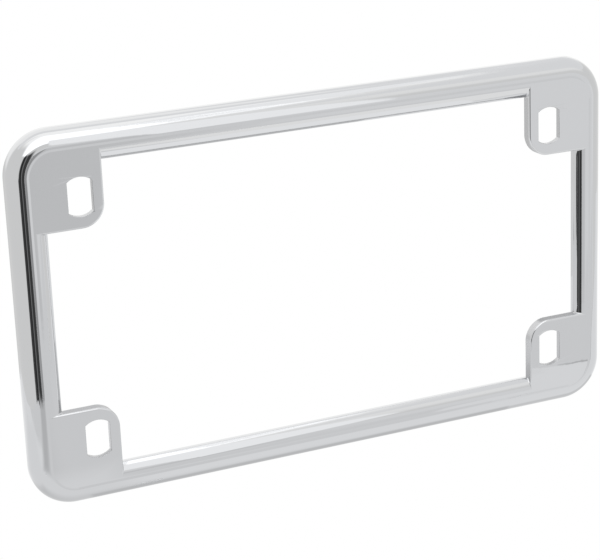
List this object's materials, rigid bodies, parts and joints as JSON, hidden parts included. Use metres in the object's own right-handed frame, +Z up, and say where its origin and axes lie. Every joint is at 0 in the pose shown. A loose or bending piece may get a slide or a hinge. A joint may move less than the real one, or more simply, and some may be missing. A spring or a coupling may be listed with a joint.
{
  "type": "motorcycle number plate frame",
  "caption": "Chromed cast frame with a rolled edge and slotted corner tabs that holds a small number plate from behind.",
  "frame": {"origin": "centre of the plane of the rear rim", "axes": "+X along the width, to the right seen from the front; -Y out of the front face; +Z up as fitted to a vehicle"},
  "size_m": [0.1848, 0.006, 0.108],
  "materials": {
    "chrome": "bright chrome plating, polished"
  },
  "bodies": {
    "root": {"plate_frame": "chrome"}
  },
  "joints": []
}
